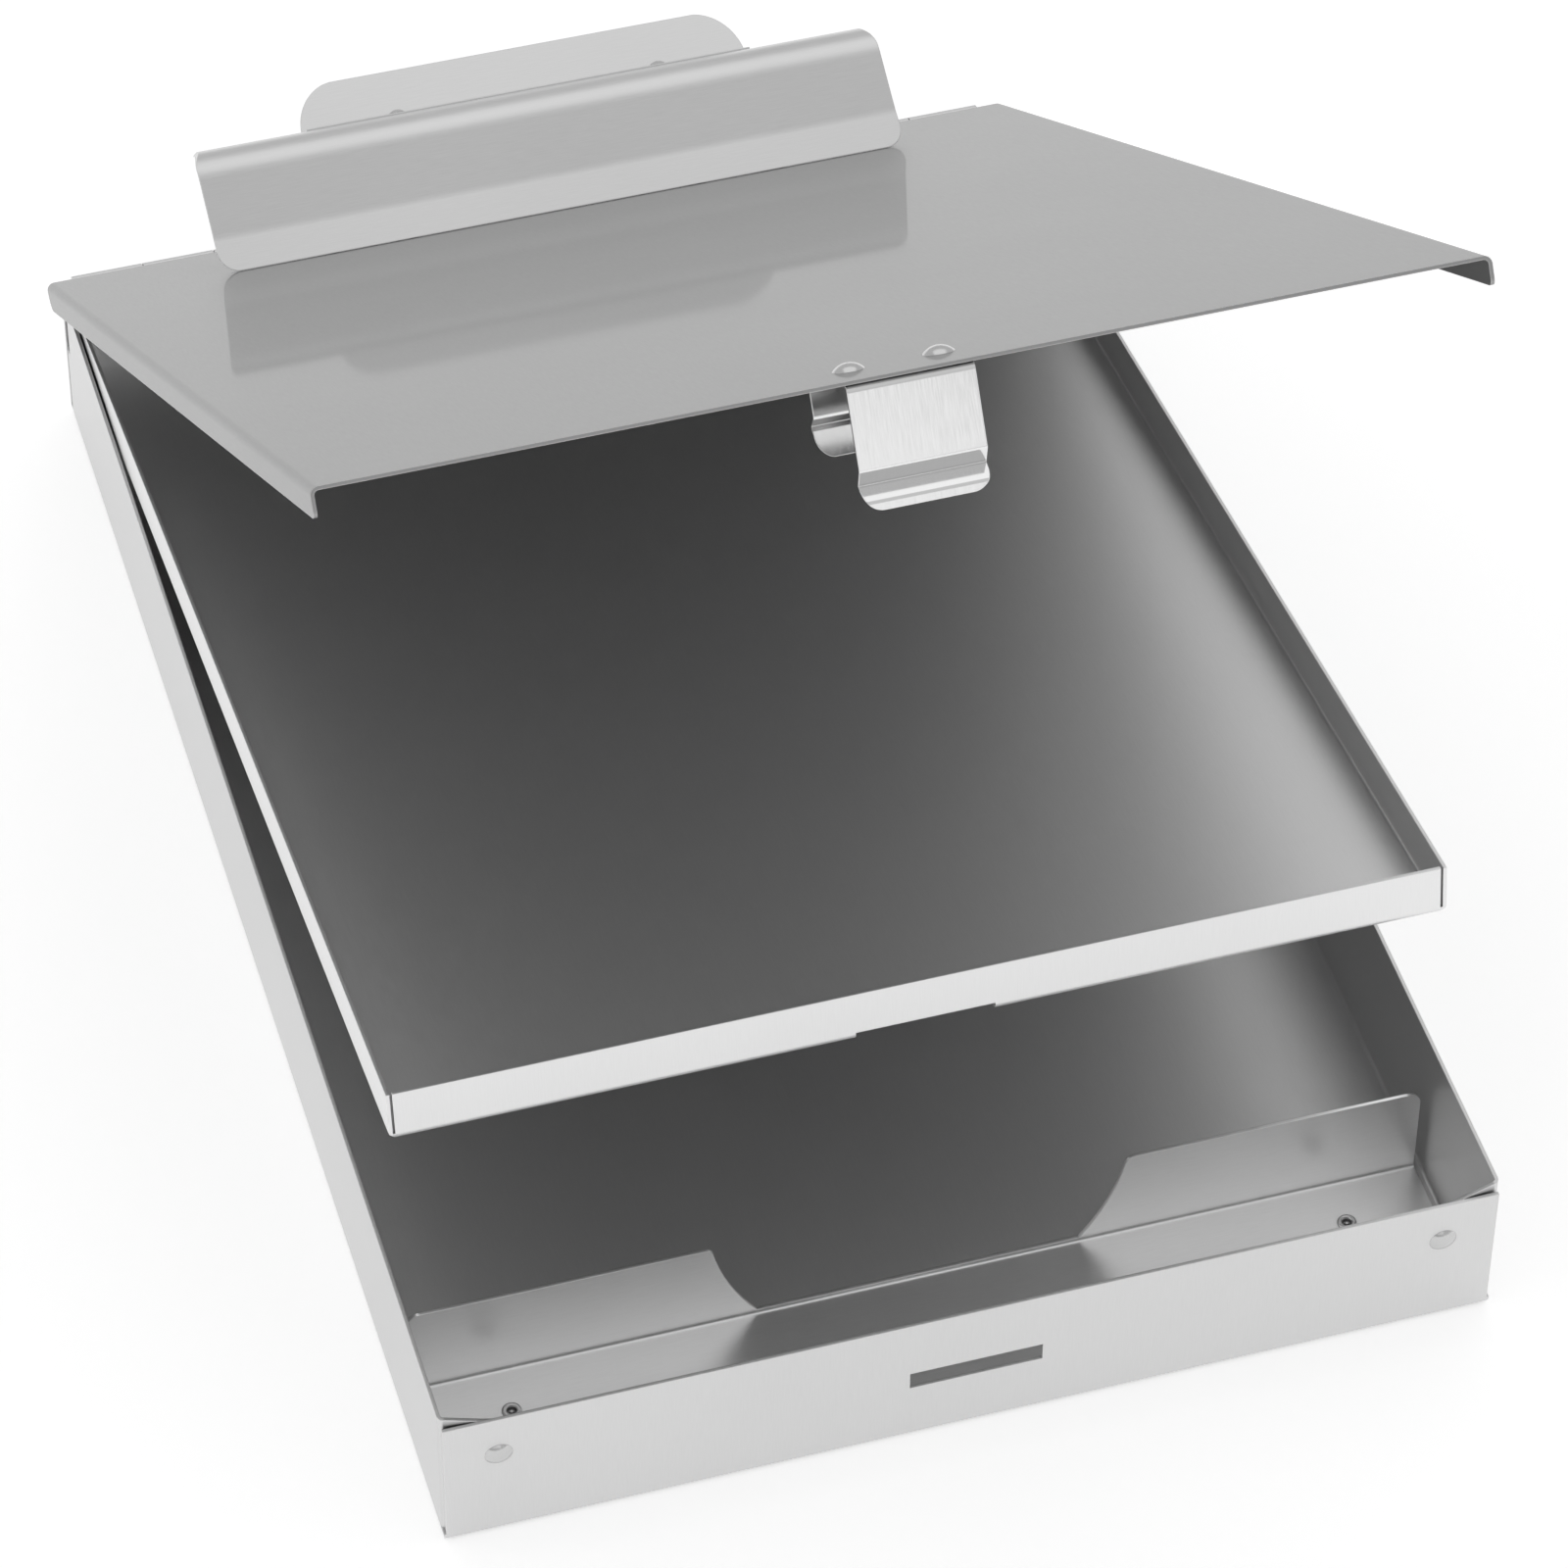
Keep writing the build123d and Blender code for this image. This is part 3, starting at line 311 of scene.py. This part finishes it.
FINISHES = {                                 # by the record's material slots
    "box_sheet": dict(tone=0.69, roughness=0.42),
    "trough_sheet": dict(tone=0.94, roughness=0.34, along_x=True, contrast=0.14),
    "tray_sheet": dict(tone=0.81, roughness=0.40, angle=TRAY_ANGLE),
    "lid_sheet": dict(tone=0.37, roughness=0.46, angle=LID_ANGLE, contrast=0.03, depth=0.0015,
                      grazing=0.7, lacquer=0.5),
    "hinge_leaves": dict(tone=0.72, roughness=0.35, along_x=True),
    "clip_steel": dict(tone=0.65, roughness=0.34, angle=LID_ANGLE, along_x=True, contrast=0.14,
                       depth=0.02),
    "latch_nickel": dict(tone=0.80, roughness=0.10, angle=LID_ANGLE, contrast=0.03, depth=0.004),
    "nickel_rivets": dict(tone=0.58, roughness=0.20, contrast=0.03, depth=0.003, edge_radius=0.0001),
    "steel_pins": dict(tone=0.55, roughness=0.30, along_x=True),
    "spring_wire": dict(tone=0.42, roughness=0.28, contrast=0.05, edge_radius=0.0001),
}


def finish_nodes(metals):
    """Each CAD node gets the material of its slot in the record."""
    for part in frame["record"]["subparts"]:
        mesh = frame["nodes"][part["node"]].data
        mesh.materials.clear()
        mesh.materials.append(metals[part["material_slot"]])


# ---- pieces that stand for a CAD node ------------------------------------------------------
def new_piece(name, points, faces, node, metals, slot):
    """Closed smooth surface that stands for a CAD node, with its faces turned outwards."""
    mesh = bpy.data.meshes.new(name)
    mesh.from_pydata(points.tolist(), [], faces)
    shell = bmesh.new()
    shell.from_mesh(mesh)
    bmesh.ops.recalc_face_normals(shell, faces=shell.faces)
    shell.to_mesh(mesh)
    shell.free()
    mesh.shade_smooth()
    mesh.materials.append(metals[slot])
    piece = bpy.data.objects.new(name, mesh)
    scene.collection.objects.link(piece)
    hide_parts(node)
    return piece


def closed_rings(rings, poles):
    """Points and faces of a tube: ring i joins ring i + 1, and a pole closes each end with a fan."""
    count, sides = rings.shape[:2]
    row, step = np.meshgrid(np.arange(count - 1) * sides, np.arange(sides), indexing="ij")
    after = (step + 1) % sides
    walls = np.stack([row + step, row + after, row + sides + after, row + sides + step], -1)
    turn = np.arange(sides)
    beside = (turn + 1) % sides
    last = (count - 1) * sides
    first_pole, last_pole = np.full(sides, count * sides), np.full(sides, count * sides + 1)
    fans = np.concatenate([np.stack([first_pole, beside, turn], -1),
                           np.stack([last_pole, last + turn, last + beside], -1)])
    return np.vstack([rings.reshape(-1, 3), poles]), walls.reshape(-1, 4).tolist() + fans.tolist()


RIVET_SIDES = 64


def turned(radii, heights, place):
    """Surface of revolution: point (i, j) lies at radius r_i and height h_i above the place, at the
    angle 2 pi j / sides. The first and last heights are its two poles."""
    angle = np.arange(RIVET_SIDES) * 2 * math.pi / RIVET_SIDES
    around = np.stack([np.cos(angle), np.sin(angle), np.zeros(RIVET_SIDES)], -1)
    up = np.array([0.0, 0.0, 1.0])
    rings = np.array(place) + radii[1:-1, None, None] * around + heights[1:-1, None, None] * up
    return closed_rings(rings, np.array(place) + heights[[0, -1], None] * up)


def rolled_arc(centre, radius, start, stop, steps):
    """Radii and heights of an arc: centre + radius (cos a, sin a), for a from start to stop degrees."""
    turn = np.radians(np.linspace(start, stop, steps))
    return centre[0] + radius * np.cos(turn), centre[1] + radius * np.sin(turn)


# the tubular rivets' profile, as radii and as heights from the trough's floor
TUBE_RADIUS, TUBE_TOP = 0.0016, -0.0001
RING_MIDDLE, RING_ROLL, RING_STEPS = 0.00155, 0.0006, 10
BORE_RADIUS, BORE_BOTTOM = 0.0008, -0.00055
STUB_RADIUS, STUB_FOOT, STUB_MIDDLE = 0.00055, -0.0006, -0.0004     # broken end of the mandrel
STUB_FROM, STUB_TO, STUB_STEPS = 10, 80, 6


def build_tube_rivets(metals):
    """Tubular rivets in the pen trough: a rolled ring round a bore with a mandrel's broken end."""
    ring_radii, ring_heights = rolled_arc((RING_MIDDLE, 0.0), RING_ROLL, 0, 180, RING_STEPS)
    stub_radii, stub_heights = rolled_arc((0.0, STUB_MIDDLE), STUB_RADIUS, STUB_FROM, STUB_TO, STUB_STEPS)
    radii = np.concatenate([[0, TUBE_RADIUS, TUBE_RADIUS], ring_radii, [BORE_RADIUS, STUB_RADIUS],
                            stub_radii, [0]])
    for side in SIDES:
        node = f"trough_rivet_{side}"
        low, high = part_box(node)
        seat = Vector(((low.x + high.x) / 2, (low.y + high.y) / 2, TROUGH_BOTTOM + SHEET))
        grip = seat.z - low.z
        heights = np.concatenate([[-grip, -grip, TUBE_TOP], ring_heights, [BORE_BOTTOM, STUB_FOOT],
                                  stub_heights, [STUB_MIDDLE + STUB_RADIUS]])
        piece = new_piece(f"rolled_{node}", *turned(radii, heights, seat), node, metals, "nickel_rivets")
        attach(piece, "box")


WIRE_RADIUS, WIRE_SIDES = 0.0006, 16
COIL_RADIUS, COIL_PITCH, COIL_HALF_TURNS, COIL_STEPS = 0.003, 0.0034, 7, 220
COIL_START = 0.024                           # the coil's inner end, from the middle of the lid
LEG_LEAN, LEG_STEPS = math.radians(35.0), 6
LEG_RISE, LEG_FALL = 0.00688, 0.00734        # heights of the legs, up to the shelf and down


def build_springs(metals):
    """Torsion springs. The wire's middle line at the turn t is (x, -r sin t, r cos t) round the pivot,
    where x moves on by a pitch a turn between the first and the last half turn; a straight leg
    leaves each end along the tangent. The lower leg keeps to the lid and the upper one to the jaw."""
    pivot = np.array(CLIP_PIVOT)
    across = np.array([1.0, 0.0, 0.0])
    rear = np.array([0.0, math.cos(LID_ANGLE), -math.sin(LID_ANGLE)])
    above = np.array([0.0, math.sin(LID_ANGLE), math.cos(LID_ANGLE)])
    turn = np.linspace(LEG_LEAN, (COIL_HALF_TURNS + 2) * math.pi - LEG_LEAN, COIL_STEPS)
    out = -np.sin(turn)[:, None] * rear + np.cos(turn)[:, None] * above
    half_turns = np.clip(turn / math.pi - 1, 0, COIL_HALF_TURNS)
    reach = np.linspace(1, 0, LEG_STEPS)[:-1, None]
    ring_angle = np.arange(WIRE_SIDES) * 2 * math.pi / WIRE_SIDES
    round_wire = np.cos(ring_angle)[None, :, None], np.sin(ring_angle)[None, :, None]
    for side, sign in SIDES.items():
        node = f"clip_spring_{side}"
        along = sign * (COIL_START + COIL_PITCH / 2 * half_turns)
        coil = pivot + along[:, None] * across + COIL_RADIUS * out
        upper = coil[0] + reach * LEG_RISE * (rear / math.tan(LEG_LEAN) + above)
        lower = coil[-1] + reach[::-1] * LEG_FALL * (rear / math.tan(LEG_LEAN) - above)
        path = np.vstack([upper, coil, lower])
        normal = np.vstack([np.repeat(out[:1], len(upper), 0), out, np.repeat(out[-1:], len(lower), 0)])
        tangent = np.gradient(path, axis=0)
        tangent /= np.linalg.norm(tangent, axis=1, keepdims=True)
        beside = np.cross(tangent, normal)
        rings = path[:, None] + WIRE_RADIUS * (round_wire[0] * normal[:, None]
                                               + round_wire[1] * beside[:, None])
        shell = closed_rings(rings, path[[0, -1]])
        piece = new_piece(f"wound_{node}", *shell, node, metals, "spring_wire")
        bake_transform(piece)


# ---- floor and light -----------------------------------------------------------------------
WHITE = (1.0, 1.0, 1.0, 1.0)
FLOOR_COLOUR, FLOOR_ROUGHNESS, FLOOR_GLOW = (0.86, 0.86, 0.86, 1.0), 0.9, 0.45
FLOOR_HALF, FLOOR_GAP = 6.0, 0.0002


def build_floor():
    """Plain pale floor at the height that the box stands on, lifted towards white where it is
    seen by the camera or mirrored."""
    half, low = FLOOR_HALF, BOX_BOTTOM - FLOOR_GAP
    mesh = bpy.data.meshes.new("floor")
    mesh.from_pydata([(-half, -half, low), (half, -half, low), (half, half, low), (-half, half, low)], [],
                     [(0, 1, 2, 3)])
    floor = bpy.data.objects.new("floor", mesh)
    scene.collection.objects.link(floor)
    material = bpy.data.materials.new("floor")
    material.use_nodes = True
    g = Graph(material.node_tree)
    surface = material.node_tree.nodes["Principled BSDF"]
    surface.inputs["Base Color"].default_value = FLOOR_COLOUR
    surface.inputs["Roughness"].default_value = FLOOR_ROUGHNESS
    surface.inputs["Specular IOR Level"].default_value = 0.0
    surface.inputs["Emission Color"].default_value = WHITE
    rays = g.add("ShaderNodeLightPath").outputs
    seen = g.math("MAXIMUM", rays["Is Camera Ray"],
                  g.math("MAXIMUM", rays["Is Glossy Ray"], rays["Is Transmission Ray"]))
    g.feed(surface.inputs["Emission Strength"], g.math("MULTIPLY", seen, FLOOR_GLOW))
    mesh.materials.append(material)


SKY_STRENGTH, DIM_STRENGTH = 0.66, 0.40
DIM_SIDE = Vector((-0.30, -0.88, 0.36))      # where the surroundings behind the camera are dim
DIM_FROM, DIM_TO = 0.80, 0.97                # agreement with that side, from none to full


def build_world():
    """Pale surroundings, dimmer on one side, that show white to the camera."""
    world = bpy.data.worlds.new("studio")
    scene.world = world
    world.use_nodes = True
    g = Graph(world.node_tree)
    back = world.node_tree.nodes["Background"]
    toward = g.add("ShaderNodeVectorMath", operation="DOT_PRODUCT")
    g.feed(toward.inputs[0], g.add("ShaderNodeTexCoord").outputs["Generated"])
    g.feed(toward.inputs[1], DIM_SIDE.normalized())
    surroundings = g.span(toward.outputs["Value"], DIM_FROM, DIM_TO, SKY_STRENGTH, DIM_STRENGTH)
    camera_ray = g.add("ShaderNodeLightPath").outputs["Is Camera Ray"]
    g.feed(back.inputs["Color"], WHITE)
    g.feed(back.inputs["Strength"], g.math("MAXIMUM", camera_ray, surroundings))


LAMP_AIM = Vector((0.0, 0.0, 0.08))
LAMPS = {                                    # place, width, height and power
    "overhead": ((0.2, 1.0, 1.9), 1.8, 1.6, 3.8),
    "front": ((-0.5, -2.0, 0.8), 2.2, 0.9, 3.0),
    "left": ((-2.0, 0.3, 0.9), 1.4, 0.9, 2.4),
}


def build_lamps():
    """Soft rectangular lights that face the middle of the box."""
    for name, (place, width, height, power) in LAMPS.items():
        lamp = bpy.data.lights.new(name, "AREA")
        lamp.shape, lamp.size, lamp.size_y, lamp.energy = "RECTANGLE", width, height, power
        light = bpy.data.objects.new(name, lamp)
        light.location = place
        light.rotation_mode = "QUATERNION"
        light.rotation_quaternion = (LAMP_AIM - Vector(place)).to_track_quat("-Z", "Y")
        scene.collection.objects.link(light)


MAX_BOUNCES, GLOSSY_BOUNCES, DIFFUSE_BOUNCES = 14, 10, 6

place_camera()
made = {name: metal(name, **finish) for name, finish in FINISHES.items()}
finish_nodes(made)
build_tube_rivets(made)
build_springs(made)
build_floor()
build_world()
build_lamps()
scene.view_settings.view_transform = "Standard"
scene.cycles.max_bounces, scene.cycles.glossy_bounces = MAX_BOUNCES, GLOSSY_BOUNCES
scene.cycles.diffuse_bounces = DIFFUSE_BOUNCES
